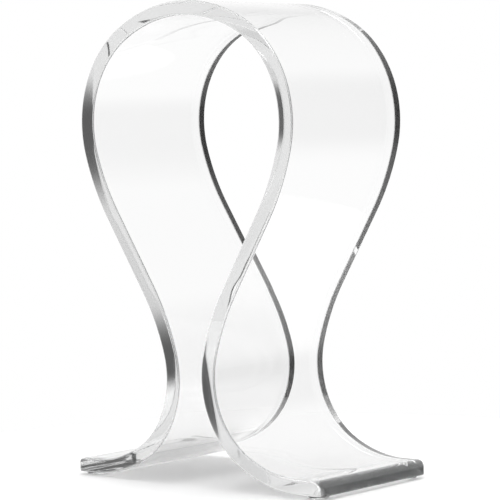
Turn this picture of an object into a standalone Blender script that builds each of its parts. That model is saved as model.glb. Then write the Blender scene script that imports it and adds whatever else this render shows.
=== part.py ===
"""Omega headphone stand: one thick clear acrylic sheet bent into an omega, on four clear bumper pads.

The sheet rises from two flared feet, narrows to a waist and opens into a round head loop, which
carries the headband. The shape is drawn in the XZ plane, symmetric about X = 0, and has the same
section all along Y. The origin is on the standing surface, below the middle of the stand.
"""
import math

import bmesh
import bpy
import numpy as np
from mathutils import Matrix

# The sheet, in metres: its width from front to rear, and its thickness where it lies level (the
# crown and the feet) and where it stands upright (the sides and the waist).
DEPTH = 0.088
LEVEL_THICKNESS = 0.0075
UPRIGHT_THICKNESS = 0.0094

# How high the stand is, and how far each toe reaches from the middle.
HEIGHT = 0.250
HALF_WIDTH = 0.085

# The bends, from the crown out to one foot: the radius of each arc along the middle of the sheet,
# and how far the sheet has turned down from level at its end, in degrees. A straight slope after
# the steepest bend makes up the height, and a straight foot makes up the width.
BENDS = (
    ("crown", 0.082, 30.0),
    ("side", 0.055, 105.0),
    ("lower_side", 0.120, 122.0),
    ("above_waist", 0.120, 105.0),
    ("ankle", 0.048, 30.0),
    ("instep", 0.070, 0.0),
)
BLEND = 0.006
BLEND_STEPS = 24
OUTLINE_STEPS = 72
STEPS_BETWEEN = 20

# The feet: a rounded nose on the top of each end, and corners rounded in plan.
NOSE_RADIUS = 0.0060
NOSE_STEPS = 6
FOOT_CORNER_RADIUS = 0.0050
FOOT_CORNER_STEPS = 5
EDGE_ROUNDING = 0.0008
TRIM = 0.0002

# The bumper pads under the corners of the feet: flat discs with a rounded rim.
PAD_RADIUS = 0.0055
PAD_RIM = 0.0012
PAD_HEIGHT = 0.0016
PAD_INSET = 0.0080
PAD_SIDES = 32
PAD_RIM_STEPS = 3
CONTACT_GAP = 0.0003

FRONT_TO_XZ = Matrix.Rotation(0.5 * math.pi, 4, "X")


def clear_scene():
    """Remove every object that the scene starts with."""
    for item in list(bpy.data.objects):
        bpy.data.objects.remove(item, do_unlink=True)


def make_collection(name):
    """Add a collection to the scene and return it."""
    collection = bpy.data.collections.new(name)
    bpy.context.scene.collection.children.link(collection)
    return collection


def clear_plastic(name, roughness, refraction, tint):
    """A transparent Principled BSDF with a roughness, an index of refraction and a faint tint."""
    material = bpy.data.materials.new(name)
    material.use_nodes = True
    shader = material.node_tree.nodes["Principled BSDF"]
    shader.inputs["Base Color"].default_value = (*tint, 1.0)
    shader.inputs["Roughness"].default_value = roughness
    shader.inputs["Metallic"].default_value = 0.0
    shader.inputs["IOR"].default_value = refraction
    shader.inputs["Transmission Weight"].default_value = 1.0
    return material


def bend_ends():
    """How far along the sheet each arc and straight ends, and the turn there.

    An arc of radius r from turn a to turn b is r|b - a| long. It drops by r|cos b - cos a|, and goes
    across by r(sin b - sin a) where the sheet turns down and by the opposite where it turns up.
    """
    radii = np.array([radius for name, radius, degrees in BENDS])
    turns = np.radians([0.0] + [degrees for name, radius, degrees in BENDS])
    arcs = radii * np.abs(np.diff(turns))
    drop = np.sum(radii * np.abs(np.diff(np.cos(turns))))
    across = np.sum(radii * np.sign(np.diff(turns)) * np.diff(np.sin(turns)))
    steepest = int(np.argmax(turns))
    level = HEIGHT - PAD_HEIGHT - CONTACT_GAP - LEVEL_THICKNESS
    slope = (level - drop) / math.sin(turns[steepest])
    foot = HALF_WIDTH - across - slope * math.cos(turns[steepest])
    pieces = np.concatenate([[0.0], arcs[:steepest], [slope], arcs[steepest:], [foot]])
    return np.cumsum(pieces), np.concatenate([turns[: steepest + 1], turns[steepest:], [0.0]])


def turn_along_sheet(lengths, ends, turns):
    """Turn of the sheet at each length: even along an arc, averaged over BLEND to ease each into the next."""
    around = lengths[:, None] + BLEND * np.linspace(-0.5, 0.5, BLEND_STEPS + 1)
    return np.mean(np.sign(around) * np.interp(np.abs(around), ends, turns), axis=1)


def sheet_sides():
    """Points of the outer and the inner side of the sheet, from the crown to the toe at +X.

    The middle line adds up small steps in the direction (cos turn, -sin turn). Each side lies half
    the thickness away from it, and the sheet rests on the pads.
    """
    ends, turns_there = bend_ends()
    lengths = np.linspace(0.0, ends[-1], OUTLINE_STEPS * STEPS_BETWEEN + 1)
    turns = turn_along_sheet(lengths, ends, turns_there)
    step = lengths[1]
    mean_turns = 0.5 * (turns[1:] + turns[:-1])
    middle_x = np.concatenate([[0.0], np.cumsum(np.cos(mean_turns) * step)])
    middle_z = np.concatenate([[0.0], np.cumsum(-np.sin(mean_turns) * step)])
    thickness = LEVEL_THICKNESS + (UPRIGHT_THICKNESS - LEVEL_THICKNESS) * np.sin(turns) ** 2
    reach = 0.5 * thickness[:, None] * np.column_stack([np.sin(turns), np.cos(turns)])
    middle = np.column_stack([middle_x, middle_z])
    outer = (middle + reach)[::STEPS_BETWEEN]
    inner = (middle - reach)[::STEPS_BETWEEN]
    lift = PAD_HEIGHT + CONTACT_GAP - inner[-1, 1]
    return outer + (0.0, lift), inner + (0.0, lift)


def half_outline():
    """Outline of the +X half: the outer side, the rounded nose of the foot, then the inner side."""
    outer, inner = sheet_sides()
    toe_x = inner[-1, 0] + TRIM
    nose_centre = np.array([inner[-1, 0] - NOSE_RADIUS, outer[-1, 1] - NOSE_RADIUS])
    angles = np.linspace(0.0, 0.5 * math.pi, NOSE_STEPS + 1)
    nose = nose_centre + NOSE_RADIUS * np.column_stack([np.sin(angles), np.cos(angles)])
    nose[-1, 0] = toe_x
    inner[-1, 0] = toe_x
    above_foot = outer[outer[:, 0] < nose_centre[0]]
    return np.vstack([above_foot, nose, inner[::-1]])


def flat_outline(name, points, thickness):
    """A closed 2D curve through the points, filled and extruded by the thickness, as a mesh object."""
    curve = bpy.data.curves.new(name, "CURVE")
    curve.dimensions = "2D"
    curve.fill_mode = "BOTH"
    curve.extrude = 0.5 * thickness
    spline = curve.splines.new("POLY")
    spline.points.add(len(points) - 1)
    for point, (across, up) in zip(spline.points, points):
        point.co = (across, up, 0.0, 1.0)
    spline.use_cyclic_u = True
    drawn = bpy.data.objects.new(name + "_outline", curve)
    bpy.context.scene.collection.objects.link(drawn)
    bpy.context.view_layer.update()
    evaluated = drawn.evaluated_get(bpy.context.evaluated_depsgraph_get())
    mesh = bpy.data.meshes.new_from_object(evaluated)
    bpy.data.objects.remove(drawn, do_unlink=True)
    mesh.name = name
    shape = bmesh.new()
    shape.from_mesh(mesh)
    bmesh.ops.remove_doubles(shape, verts=shape.verts, dist=0.00001)
    bmesh.ops.dissolve_limit(shape, angle_limit=0.001, verts=shape.verts, edges=shape.edges)
    bmesh.ops.recalc_face_normals(shape, faces=shape.faces)
    shape.to_mesh(mesh)
    shape.free()
    return bpy.data.objects.new(name, mesh)


def footprint_block(name, half_width, height, collection):
    """A tall block over the stand's footprint, with its four upright edges rounded in plan."""
    shape = bmesh.new()
    bmesh.ops.create_cube(shape, size=1.0)
    bmesh.ops.scale(shape, vec=(2.0 * half_width, DEPTH, height), verts=shape.verts)
    upright = [edge for edge in shape.edges if abs(edge.verts[0].co.z - edge.verts[1].co.z) > 0.5 * height]
    bmesh.ops.bevel(
        shape, geom=upright, offset=FOOT_CORNER_RADIUS, segments=FOOT_CORNER_STEPS, profile=0.5, affect="EDGES"
    )
    mesh = bpy.data.meshes.new(name)
    shape.to_mesh(mesh)
    shape.free()
    block = bpy.data.objects.new(name, mesh)
    block.display_type = "WIRE"
    block.hide_render = True
    collection.objects.link(block)
    return block


def make_sheet(collection, cutters, material):
    """The bent sheet: the extruded omega, cut to its footprint, with its edges polished round."""
    right = half_outline()
    left = right[:0:-1] * (-1.0, 1.0)
    points = np.vstack([right[:-1], left[1:]])
    sheet = flat_outline("bent_acrylic_sheet", points, DEPTH + 2.0 * FOOT_CORNER_RADIUS)
    sheet.data.transform(FRONT_TO_XZ)
    collection.objects.link(sheet)
    sheet.data.materials.append(material)
    half_width = sheet_sides()[1][-1, 0]
    block = footprint_block("footprint", half_width, 3.0 * points[:, 1].max(), cutters)
    cut = sheet.modifiers.new("footprint", "BOOLEAN")
    cut.operation = "INTERSECT"
    cut.solver = "EXACT"
    cut.object = block
    rounding = sheet.modifiers.new("polished_edges", "BEVEL")
    rounding.width = EDGE_ROUNDING
    rounding.segments = 2
    rounding.limit_method = "ANGLE"
    rounding.angle_limit = math.radians(40.0)
    sheet.data.shade_smooth()
    return sheet


def make_pad_mesh(material):
    """A bumper pad: a profile from the flat top over the rounded rim to the flat base, turned about Z."""
    angles = np.linspace(0.0, 0.5 * math.pi, PAD_RIM_STEPS + 1)
    rim = [
        (PAD_RADIUS - PAD_RIM + PAD_RIM * math.cos(angle), PAD_RIM - PAD_RIM * math.sin(angle)) for angle in angles
    ]
    profile = [(0.0, PAD_HEIGHT), (PAD_RADIUS, PAD_HEIGHT)] + rim + [(0.0, 0.0)]
    mesh = bpy.data.meshes.new("bumper_pad")
    edges = [(start, start + 1) for start in range(len(profile) - 1)]
    mesh.from_pydata([(radius, 0.0, level) for radius, level in profile], edges, [])
    mesh.materials.append(material)
    return mesh


def make_pad(name, mesh, place, collection):
    """One bumper pad at its place on the standing surface."""
    pad = bpy.data.objects.new(name, mesh)
    pad.location = place
    collection.objects.link(pad)
    turned = pad.modifiers.new("turned", "SCREW")
    turned.axis = "Z"
    turned.steps = PAD_SIDES
    turned.render_steps = PAD_SIDES
    turned.use_merge_vertices = True
    turned.merge_threshold = 0.00001
    return pad


def main():
    clear_scene()
    parts = make_collection("omega_headphone_stand")
    cutters = make_collection("cutters")
    acrylic = clear_plastic("clear_acrylic", 0.02, 1.49, (0.97, 0.98, 0.98))
    rubber = clear_plastic("clear_rubber", 0.12, 1.46, (0.94, 0.95, 0.95))
    make_sheet(parts, cutters, acrylic)
    pad_mesh = make_pad_mesh(rubber)
    across = sheet_sides()[1][-1, 0] - PAD_INSET
    along = 0.5 * DEPTH - PAD_INSET
    for end, sign_y in (("front", -1.0), ("rear", 1.0)):
        for side, sign_x in (("left", -1.0), ("right", 1.0)):
            place = (sign_x * across, sign_y * along, 0.0)
            make_pad(f"bumper_pad_{end}_{side}", pad_mesh, place, parts)


main()
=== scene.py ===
# %% [markdown]
# # Omega headphone stand, in clear acrylic
#
# The real stand is one thick strip of clear acrylic, heated and bent into an omega. The headband
# hangs over the round head loop, the two halves nearly meet at the waist, and two flared feet stand
# on four clear bumper pads. This notebook builds the polished sheet and the pads on the packed
# frame, then lights them the way glassware is lit: a pale surround, with two dark cards that draw
# the edges.

# %% Load the frame and keep its box
import math

import bpy
import numpy as np
from mathutils import Matrix, Vector


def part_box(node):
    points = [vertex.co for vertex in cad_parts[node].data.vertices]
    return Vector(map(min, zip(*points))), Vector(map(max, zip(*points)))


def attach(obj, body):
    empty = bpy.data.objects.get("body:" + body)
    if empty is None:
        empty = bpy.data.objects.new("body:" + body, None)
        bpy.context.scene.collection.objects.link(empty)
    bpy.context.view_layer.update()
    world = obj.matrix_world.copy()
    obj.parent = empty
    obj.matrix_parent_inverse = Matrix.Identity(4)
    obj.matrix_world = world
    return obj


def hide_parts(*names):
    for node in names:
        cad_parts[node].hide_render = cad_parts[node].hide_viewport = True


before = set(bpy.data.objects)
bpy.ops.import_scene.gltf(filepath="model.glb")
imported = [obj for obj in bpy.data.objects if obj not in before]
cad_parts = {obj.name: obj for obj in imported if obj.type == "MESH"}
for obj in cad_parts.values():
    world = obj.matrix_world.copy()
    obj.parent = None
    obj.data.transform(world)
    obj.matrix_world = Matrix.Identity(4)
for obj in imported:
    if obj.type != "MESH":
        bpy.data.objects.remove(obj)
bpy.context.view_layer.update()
MILLIMETRE = 0.001

# %% [markdown]
# ## Camera
#
# A long lens a little above the standing surface, to the right of the front, so that the near edge
# of the sheet shows as a ribbon and the far edge as a thin line. The camera's place is written as
# an orbit round the middle of the stand, with a small slide that frames it.

# %% The camera
CAMERA_AZIMUTH = math.radians(41.0)
CAMERA_ELEVATION = math.radians(3.2)
CAMERA_ROLL = math.radians(-1.6)
CAMERA_DISTANCE = 1.2
CAMERA_SLIDE = (0.004, -0.005)
CAMERA_LENS = 164.0
STAND_HEIGHT = 0.250


def orbit_camera(azimuth, elevation, roll, distance, slide, aim, lens):
    """A camera at aim + distance * back, slid along its own right and up.

    back = (sin azimuth cos elevation, -cos azimuth cos elevation, sin elevation), and roll turns
    right and up about it.
    """
    level = Vector((math.cos(azimuth), math.sin(azimuth), 0.0))
    back = Vector((math.sin(azimuth), -math.cos(azimuth), 0.0)) * math.cos(elevation)
    back.z = math.sin(elevation)
    upward = back.cross(level)
    right = level * math.cos(roll) + upward * math.sin(roll)
    up = upward * math.cos(roll) - level * math.sin(roll)
    data = bpy.data.cameras.new("studio_camera")
    data.lens = lens
    data.sensor_width = 36.0
    data.clip_start = 0.05
    camera = bpy.data.objects.new("studio_camera", data)
    place = aim + back * distance + right * slide[0] + up * slide[1]
    axes = Matrix((right, up, back)).transposed().to_4x4()
    camera.matrix_world = Matrix.Translation(place) @ axes
    bpy.context.scene.collection.objects.link(camera)
    return camera


camera = orbit_camera(
    CAMERA_AZIMUTH,
    CAMERA_ELEVATION,
    CAMERA_ROLL,
    CAMERA_DISTANCE,
    CAMERA_SLIDE,
    Vector((0.0, 0.0, 0.5 * STAND_HEIGHT)),
    CAMERA_LENS,
)
bpy.context.scene.camera = camera
print("camera at", [round(part, 3) for part in camera.matrix_world.translation])

# %% [markdown]
# ## The bends of the sheet
#
# The CAD draws the omega as arcs: the radius of each, and how far the sheet has turned down from
# level where it ends. The same arcs are written again here, because the polished sheet is a finer
# surface on the same lines. A straight slope makes up the height and a straight foot the width, and
# small steps in the direction of the turn add up to the middle line.

# %% The bends
DEPTH = 0.088
LEVEL_THICKNESS = 0.0075
UPRIGHT_THICKNESS = 0.0094
UNDERSIDE = 0.0019
HEIGHT = 0.250
HALF_WIDTH = 0.085
BENDS = (
    ("crown", 0.082, 30.0),
    ("side", 0.055, 105.0),
    ("lower_side", 0.120, 122.0),
    ("above_waist", 0.120, 105.0),
    ("ankle", 0.048, 30.0),
    ("instep", 0.070, 0.0),
)
BLEND = 0.006
BLEND_STEPS = 24
LINE_STEPS = 6920


def bend_ends():
    """How far along the sheet each arc and straight ends, and the turn there.

    An arc of radius r from turn a to turn b is r|b - a| long. It drops by r|cos b - cos a|, and goes
    across by r(sin b - sin a) where the sheet turns down and by the opposite where it turns up. The
    straight slope makes up the height and the straight foot makes up the width.
    """
    radii = np.array([radius for name, radius, degrees in BENDS])
    turns = np.radians([0.0] + [degrees for name, radius, degrees in BENDS])
    arcs = radii * np.abs(np.diff(turns))
    drop = np.sum(radii * np.abs(np.diff(np.cos(turns))))
    across = np.sum(radii * np.sign(np.diff(turns)) * np.diff(np.sin(turns)))
    steepest = int(np.argmax(turns))
    slope = (HEIGHT - UNDERSIDE - LEVEL_THICKNESS - drop) / math.sin(turns[steepest])
    foot = HALF_WIDTH - across - slope * math.cos(turns[steepest])
    pieces = np.concatenate([[0.0], arcs[:steepest], [slope], arcs[steepest:], [foot]])
    return np.cumsum(pieces), np.concatenate([turns[: steepest + 1], turns[steepest:], [0.0]])


BEND_ENDS, BEND_TURNS = bend_ends()
HALF_LENGTH = float(BEND_ENDS[-1])


def turn_along_sheet(lengths):
    """Turn of the sheet at each length: even along an arc, averaged over BLEND to ease each into the next."""
    around = lengths[:, None] + BLEND * np.linspace(-0.5, 0.5, BLEND_STEPS + 1)
    return np.mean(np.sign(around) * np.interp(np.abs(around), BEND_ENDS, BEND_TURNS), axis=1)


def middle_line(stations):
    """Middle of the sheet at the stations, for the +X half: the sum of step * (cos turn, -sin turn)."""
    lengths = np.linspace(0.0, HALF_LENGTH, LINE_STEPS + 1)
    turns = turn_along_sheet(lengths)
    mean_turns = 0.5 * (turns[1:] + turns[:-1])
    step = HALF_LENGTH / LINE_STEPS
    across = np.concatenate([[0.0], np.cumsum(np.cos(mean_turns) * step)])
    up = np.concatenate([[0.0], np.cumsum(-np.sin(mean_turns) * step)])
    up += UNDERSIDE + 0.5 * LEVEL_THICKNESS - up[-1]
    return np.interp(stations, lengths, across), np.interp(stations, lengths, up)


crown_height = middle_line(np.array([0.0]))[1][0] + 0.5 * LEVEL_THICKNESS

# %% [markdown]
# ## The polished sheet
#
# A ring goes round the strip's section: two broad faces, two sawn and flame-polished edges, and a
# small round on each of the four corners. Rings at every station make a grid, and the grid is the
# sheet. Towards each toe the rings shrink by plain circles: the top comes down over a round nose,
# the depth draws in for the corners, and the bottom lifts over the last fraction of a millimetre.

# %% The polished sheet
EDGE_ROUND = 0.0010
EDGE_ROUND_STEPS = 8
NOSE_RADIUS = 0.0060
CORNER_RADIUS = 0.0050
TOE_ROUND = 0.0008
STATION_STEPS = 380
NOSE_STEPS = 26
TOE_STEPS = 8
FACE_FRACTIONS = (0.996, 0.94, 0.7, 0.35, 0.0, -0.35, -0.7, -0.94, -0.996)
EDGE_FRACTIONS = (0.93, 0.5, 0.0, -0.5, -0.93)


def section_ring():
    """The ring as rows (depth fraction, thickness fraction, round part across, round part up).

    A corner is a quarter turn of (cos, sin), and a flat keeps one round part at 1 while its
    fraction runs from one corner to the next.
    """
    rows = []
    corners = ((1.0, 1.0), (-1.0, 1.0), (-1.0, -1.0), (1.0, -1.0))
    flats = (FACE_FRACTIONS, EDGE_FRACTIONS, FACE_FRACTIONS[::-1], EDGE_FRACTIONS[::-1])
    for quarter, ((across, up), fractions) in enumerate(zip(corners, flats)):
        angles = 0.5 * math.pi * (quarter + np.linspace(0.0, 1.0, EDGE_ROUND_STEPS + 1))
        rows.extend((across, up, math.cos(angle), math.sin(angle)) for angle in angles)
        if quarter % 2 == 0:
            rows.extend((fraction, up, 0.0, up) for fraction in fractions)
        else:
            rows.extend((across, fraction, across, 0.0) for fraction in fractions)
    return np.array(rows)


def lost_to_round(radius, from_end):
    """How much a round of that radius takes away at a distance from the end: r - sqrt(r^2 - (r - e)^2)."""
    inside = np.clip(radius - from_end, 0.0, radius)
    return radius - np.sqrt(radius * radius - inside * inside)


def stations_to_toe():
    """Stations from the crown to the toe, close together where the nose and the toe edge curve."""
    body = np.linspace(0.0, HALF_LENGTH - NOSE_RADIUS, STATION_STEPS + 1)
    nose = NOSE_RADIUS * (1.0 - np.sin(np.linspace(0.0, 0.5 * math.pi, NOSE_STEPS + 1)))
    toe = TOE_ROUND * (1.0 - np.sin(np.linspace(0.0, 0.5 * math.pi, TOE_STEPS + 1)))
    ends = np.unique(np.round(np.concatenate([nose, toe]), 7))
    return np.unique(np.concatenate([body, HALF_LENGTH - ends]))


def grid_faces(rows, columns):
    """Quads of a grid that closes round its columns, as an array of corner indices."""
    row, column = np.meshgrid(np.arange(rows - 1), np.arange(columns), indexing="ij")
    after = (column + 1) % columns
    here = row * columns
    corners = [here + column, here + after, here + columns + after, here + columns + column]
    return np.stack(corners, -1).reshape(-1, 4)


def mesh_object(name, points, quads, caps):
    """A smooth mesh object at the origin from an array of points, quads and lists of cap corners."""
    mesh = bpy.data.meshes.new(name)
    mesh.from_pydata(points.tolist(), [], quads.tolist() + [list(map(int, cap)) for cap in caps])
    mesh.validate()
    mesh.shade_smooth()
    made = bpy.data.objects.new(name, mesh)
    bpy.context.scene.collection.objects.link(made)
    return made


def make_sheet():
    """The polished sheet: middle line + across * Y + up * outward normal, over both halves."""
    half = stations_to_toe()
    stations = np.concatenate([-half[:0:-1], half])
    side = np.sign(stations)
    reach = np.abs(stations)
    turns = turn_along_sheet(reach)
    middle_x, middle_z = middle_line(reach)
    thickness = LEVEL_THICKNESS + (UPRIGHT_THICKNESS - LEVEL_THICKNESS) * np.sin(turns) ** 2
    from_end = HALF_LENGTH - reach
    upper = 0.5 * thickness - lost_to_round(NOSE_RADIUS, from_end)
    lower = 0.5 * thickness - lost_to_round(TOE_ROUND, from_end)
    half_depth = 0.5 * DEPTH - lost_to_round(CORNER_RADIUS, from_end)
    half_section = 0.5 * (upper + lower)
    centre = 0.5 * (upper - lower)
    rounding = np.minimum(EDGE_ROUND, 0.9 * half_section)
    ring = section_ring()
    across = ring[:, 0] * (half_depth - rounding)[:, None] + ring[:, 2] * rounding[:, None]
    up = centre[:, None] + ring[:, 1] * (half_section - rounding)[:, None] + ring[:, 3] * rounding[:, None]
    x = (side * middle_x)[:, None] + up * (side * np.sin(turns))[:, None]
    z = middle_z[:, None] + up * np.cos(turns)[:, None]
    points = np.stack([x, across, z], -1).reshape(-1, 3)
    rows, columns = across.shape
    caps = [np.arange(columns)[::-1], (rows - 1) * columns + np.arange(columns)]
    return mesh_object("polished_sheet", points, grid_faces(rows, columns), caps)


sheet = make_sheet()
sheet_low = np.min([vertex.co for vertex in sheet.data.vertices], axis=0)
sheet_high = np.max([vertex.co for vertex in sheet.data.vertices], axis=0)
print("sheet", len(sheet.data.polygons), "faces, from", sheet_low.round(4), "to", sheet_high.round(4))

# %% [markdown]
# ## The bumper pads
#
# Four soft clear bumpers are stuck under the corners of the feet. Each is a low button with a flat
# base, a bulging rim and a slightly crowned top that meets the sheet. A profile turned about the
# upright axis gives it.

# %% The bumper pads
PAD_PROFILE_MM = (
    (0.0, 0.0),
    (3.6, 0.0),
    (4.2, 0.03),
    (4.7, 0.16),
    (5.1, 0.40),
    (5.35, 0.72),
    (5.42, 1.05),
    (5.34, 1.36),
    (5.10, 1.62),
    (4.75, 1.78),
    (4.3, 1.84),
    (0.0, 1.85),
)
PAD_SIDES = 72
PAD_SMOOTHING = 4


def rounded_profile():
    """The pad's profile with extra points: a smooth curve through the corners by their running length."""
    corners = np.array(PAD_PROFILE_MM) * MILLIMETRE
    lengths = np.concatenate([[0.0], np.cumsum(np.hypot(*np.diff(corners, axis=0).T))])
    slopes = np.gradient(corners, lengths, axis=0)
    fine = np.interp(
        np.arange((len(corners) - 1) * PAD_SMOOTHING + 1) / PAD_SMOOTHING, np.arange(len(corners)), lengths
    )
    piece = np.clip(np.searchsorted(lengths, fine, side="right") - 1, 0, len(lengths) - 2)
    span = (lengths[piece + 1] - lengths[piece])[:, None]
    part = (fine - lengths[piece])[:, None] / span
    start, end = corners[piece], corners[piece + 1]
    curve = start + (end - start) * part * part * (3.0 - 2.0 * part)
    lead = slopes[piece] * span * part * (1.0 - part) ** 2
    trail = slopes[piece + 1] * span * part * part * (1.0 - part)
    return curve + lead - trail


def make_pad(name, low, high):
    """A bumper over the CAD pad's place: the profile turned about the upright line through its middle."""
    profile = rounded_profile()[1:-1]
    angles = np.linspace(0.0, 2.0 * math.pi, PAD_SIDES, endpoint=False)
    x = 0.5 * (low.x + high.x) + profile[:, :1] * np.cos(angles)
    y = 0.5 * (low.y + high.y) + profile[:, :1] * np.sin(angles)
    z = np.broadcast_to(np.maximum(profile[:, 1:], 0.0), x.shape)
    points = np.stack([x, y, z], -1).reshape(-1, 3)
    rows, columns = x.shape
    caps = [np.arange(columns)[::-1], (rows - 1) * columns + np.arange(columns)]
    return mesh_object(name, points, grid_faces(rows, columns), caps)


pad_nodes = [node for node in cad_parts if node.startswith("bumper_pad")]
pads = {node: make_pad("clear_" + node, *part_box(node)) for node in pad_nodes}
print("pads", sorted(pads))

# %% [markdown]
# ## Materials
#
# The acrylic is a clear dielectric with faint ripples left by the bending and a few handling marks
# that roughen the polish. A weak absorption, per metre, greys the light that travels the long way,
# edge to edge. The pads are softer and a little cloudy.


# %% The materials
MARKS_SCALE = 38.0
MARKS_DETAIL = 5.0
MARKS_RANGE = (0.48, 0.72)
RIPPLE_HEIGHT = 0.00002
RIPPLE_STRETCH = (1.0, 0.35, 1.0)


def node_chain(name):
    """A new material with nodes: (material, its node tree, its Principled shader, its output)."""
    material = bpy.data.materials.new(name)
    material.use_nodes = True
    tree = material.node_tree
    return material, tree, tree.nodes["Principled BSDF"], tree.nodes["Material Output"]


def noise(tree, scale, detail, stretch=(1.0, 1.0, 1.0)):
    """A noise texture in object space, at scale features per metre, stretched along the axes."""
    place = tree.nodes.new("ShaderNodeTexCoord")
    mapping = tree.nodes.new("ShaderNodeMapping")
    mapping.inputs["Scale"].default_value = stretch
    texture = tree.nodes.new("ShaderNodeTexNoise")
    texture.inputs["Scale"].default_value = scale
    texture.inputs["Detail"].default_value = detail
    tree.links.new(place.outputs["Object"], mapping.inputs["Vector"])
    tree.links.new(mapping.outputs["Vector"], texture.inputs["Vector"])
    return texture.outputs["Fac"]


def map_range(tree, value, low, high, to_low, to_high):
    """The value carried from low..high to to_low..to_high, and held there."""
    ranged = tree.nodes.new("ShaderNodeMapRange")
    ranged.interpolation_type = "SMOOTHSTEP"
    ranged.inputs["From Min"].default_value = low
    ranged.inputs["From Max"].default_value = high
    ranged.inputs["To Min"].default_value = to_low
    ranged.inputs["To Max"].default_value = to_high
    tree.links.new(value, ranged.inputs["Value"])
    return ranged.outputs["Result"]


def clear_material(name, refraction, rough_low, rough_high, ripple_scale, absorption, tint):
    """A clear plastic: noise for the polish marks, noise for the ripples, and a weak absorption."""
    material, tree, shader, output = node_chain(name)
    shader.inputs["Base Color"].default_value = (1.0, 1.0, 1.0, 1.0)
    shader.inputs["IOR"].default_value = refraction
    shader.inputs["Transmission Weight"].default_value = 1.0
    marks = map_range(tree, noise(tree, MARKS_SCALE, MARKS_DETAIL), *MARKS_RANGE, rough_low, rough_high)
    tree.links.new(marks, shader.inputs["Roughness"])
    bump = tree.nodes.new("ShaderNodeBump")
    bump.inputs["Strength"].default_value = 1.0
    bump.inputs["Distance"].default_value = RIPPLE_HEIGHT
    tree.links.new(noise(tree, ripple_scale, 1.0, RIPPLE_STRETCH), bump.inputs["Height"])
    tree.links.new(bump.outputs["Normal"], shader.inputs["Normal"])
    body = tree.nodes.new("ShaderNodeVolumeAbsorption")
    body.inputs["Color"].default_value = (*tint, 1.0)
    body.inputs["Density"].default_value = absorption
    tree.links.new(body.outputs["Volume"], output.inputs["Volume"])
    return material


acrylic = clear_material("clear_acrylic", 1.49, 0.0, 0.03, 30.0, 5.0, (0.60, 0.605, 0.605))
rubber = clear_material("clear_rubber", 1.47, 0.08, 0.2, 900.0, 20.0, (0.86, 0.87, 0.88))
sheet.data.materials.append(acrylic)
for pad in pads.values():
    pad.data.materials.append(rubber)
print("materials", acrylic.name, rubber.name)

# %% [markdown]
# ## Studio
#
# A small white floor in a pale room, brighter overhead. A white backdrop and a softbox are on one
# side, and two dark cards give the edges of the sheet something to pick up. The room is pale all
# round, so the sheet reads as clear from every side. What the lens sees past the stand is plain
# white, and the floor is matt to the lens but satin to light that reaches it at a low angle.

# %% The studio
FLOOR_RADIUS = 0.25
FLOOR_RINGS = 12
FLOOR_SIDES = 96
FLOOR_WHITE = (0.9, 0.9, 0.9)
FLOOR_SHEEN_ROUGHNESS = 0.12
FLOOR_SHEEN_COLOUR = (0.97, 0.97, 0.97)
FLOOR_SHEEN_FACING = (0.5, 0.85)
FLOOR_SHEEN_SHARE = (0.02, 0.92)
SOFTBOX_PLACE = (0.0, 0.15, 1.3)
SOFTBOX_SIZE = 0.8
SOFTBOX_WATTS = 6.0
BOUNCES = 128
ROOM_HEIGHTS = ((-30.0, 1.0), (-5.0, 0.85), (40.0, 0.85), (60.0, 1.0), (80.0, 2.5))
ROOM_SIDES = (
    ("left_softbox", 290.0, 50.0, 20.0, 50.0, 1.3),
    ("backdrop", 220.0, -5.0, 15.0, 35.0, 1.0),
    ("dim_back_right", 140.0, 5.0, 10.0, 30.0, 0.15),
    ("dark_front_left", 310.0, -10.0, 15.0, 40.0, 0.0),
)


def make_floor():
    """A round table top at z = 0: rings of points, with the innermost ring closed by one face."""
    radii = FLOOR_RADIUS * np.linspace(1.0 / FLOOR_RINGS, 1.0, FLOOR_RINGS)[:, None]
    angles = np.linspace(0.0, 2.0 * math.pi, FLOOR_SIDES, endpoint=False)
    x, y = radii * np.cos(angles), radii * np.sin(angles)
    points = np.stack([x, y, np.zeros_like(x)], -1).reshape(-1, 3)
    quads = grid_faces(FLOOR_RINGS, FLOOR_SIDES)[:, ::-1]
    floor = mesh_object("studio_floor", points, quads, [np.arange(FLOOR_SIDES)])
    material, tree, shader, output = node_chain("pale_floor")
    shader.inputs["Base Color"].default_value = (*FLOOR_WHITE, 1.0)
    shader.inputs["Specular IOR Level"].default_value = 0.1
    tree.links.new(map_range(tree, noise(tree, 6.0, 2.0), 0.3, 0.7, 0.7, 0.8), shader.inputs["Roughness"])
    gloss = tree.nodes.new("ShaderNodeBsdfGlossy")
    gloss.inputs["Color"].default_value = (*FLOOR_SHEEN_COLOUR, 1.0)
    gloss.inputs["Roughness"].default_value = FLOOR_SHEEN_ROUGHNESS
    view = tree.nodes.new("ShaderNodeLayerWeight")
    grazing = map_range(tree, view.outputs["Facing"], *FLOOR_SHEEN_FACING, *FLOOR_SHEEN_SHARE)
    path = tree.nodes.new("ShaderNodeLightPath")
    seen = mix_value(tree, path.outputs["Is Camera Ray"], grazing, 0.0)
    both = tree.nodes.new("ShaderNodeMixShader")
    tree.links.new(seen, both.inputs["Fac"])
    tree.links.new(shader.outputs["BSDF"], both.inputs[1])
    tree.links.new(gloss.outputs["BSDF"], both.inputs[2])
    tree.links.new(both.outputs["Shader"], output.inputs["Surface"])
    floor.data.materials.append(material)
    return floor


def direction(azimuth, elevation):
    """The unit vector (sin a cos e, -cos a cos e, sin e) for azimuth a and elevation e in degrees."""
    around, above = math.radians(azimuth), math.radians(elevation)
    return (math.sin(around) * math.cos(above), -math.cos(around) * math.cos(above), math.sin(above))


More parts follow.
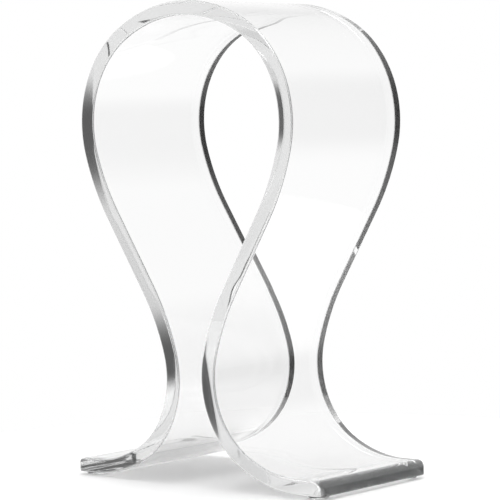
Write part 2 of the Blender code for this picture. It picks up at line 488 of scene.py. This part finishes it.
def mix_value(tree, factor, start, end):
    """start * (1 - factor) + end * factor, where start is a socket or a number."""
    mix = tree.nodes.new("ShaderNodeMix")
    mix.data_type = "FLOAT"
    tree.links.new(factor, mix.inputs["Factor"])
    if isinstance(start, float):
        mix.inputs["A"].default_value = start
    else:
        tree.links.new(start, mix.inputs["A"])
    mix.inputs["B"].default_value = end
    return mix.outputs["Result"]


def make_world():
    """The room: brightness by height, the named sides laid over it, and plain white for the lens."""
    world = bpy.data.worlds.new("studio")
    world.use_nodes = True
    tree = world.node_tree
    background = tree.nodes["Background"]
    place = tree.nodes.new("ShaderNodeTexCoord")
    split = tree.nodes.new("ShaderNodeSeparateXYZ")
    tree.links.new(place.outputs["Generated"], split.inputs["Vector"])
    below, level = ROOM_HEIGHTS[0]
    for above, over in ROOM_HEIGHTS[1:]:
        low, high = math.sin(math.radians(below)), math.sin(math.radians(above))
        rise = map_range(tree, split.outputs["Z"], low, high, 0.0, 1.0)
        level = mix_value(tree, rise, level, over)
        below = above
    for side, azimuth, elevation, inner, outer, brightness in ROOM_SIDES:
        facing = tree.nodes.new("ShaderNodeVectorMath")
        facing.operation = "DOT_PRODUCT"
        facing.inputs[1].default_value = direction(azimuth, elevation)
        tree.links.new(place.outputs["Generated"], facing.inputs[0])
        far, near = math.cos(math.radians(outer)), math.cos(math.radians(inner))
        within = map_range(tree, facing.outputs["Value"], far, near, 0.0, 1.0)
        level = mix_value(tree, within, level, brightness)
    path = tree.nodes.new("ShaderNodeLightPath")
    level = mix_value(tree, path.outputs["Is Camera Ray"], level, 1.0)
    tree.links.new(level, background.inputs["Color"])
    bpy.context.scene.world = world
    return world


def area_light(name, place, aim, size, watts):
    """A square softbox at place, turned towards aim."""
    data = bpy.data.lights.new(name, "AREA")
    data.size = size
    data.energy = watts
    light = bpy.data.objects.new(name, data)
    light.location = place
    light.rotation_euler = (Vector(aim) - Vector(place)).to_track_quat("-Z", "Y").to_euler()
    bpy.context.scene.collection.objects.link(light)
    return light


floor = make_floor()
world = make_world()
softbox = area_light("overhead_softbox", SOFTBOX_PLACE, (0.0, 0.0, 0.0), SOFTBOX_SIZE, SOFTBOX_WATTS)
bpy.context.scene.view_settings.view_transform = "Standard"
bpy.context.scene.cycles.max_bounces = BOUNCES
bpy.context.scene.cycles.transmission_bounces = BOUNCES
bpy.context.scene.cycles.glossy_bounces = BOUNCES
print("studio ready")

# %% Put the pieces on the frame
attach(sheet, "root")
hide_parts("bent_acrylic_sheet")
for node, pad in pads.items():
    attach(pad, "root")
    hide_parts(node)
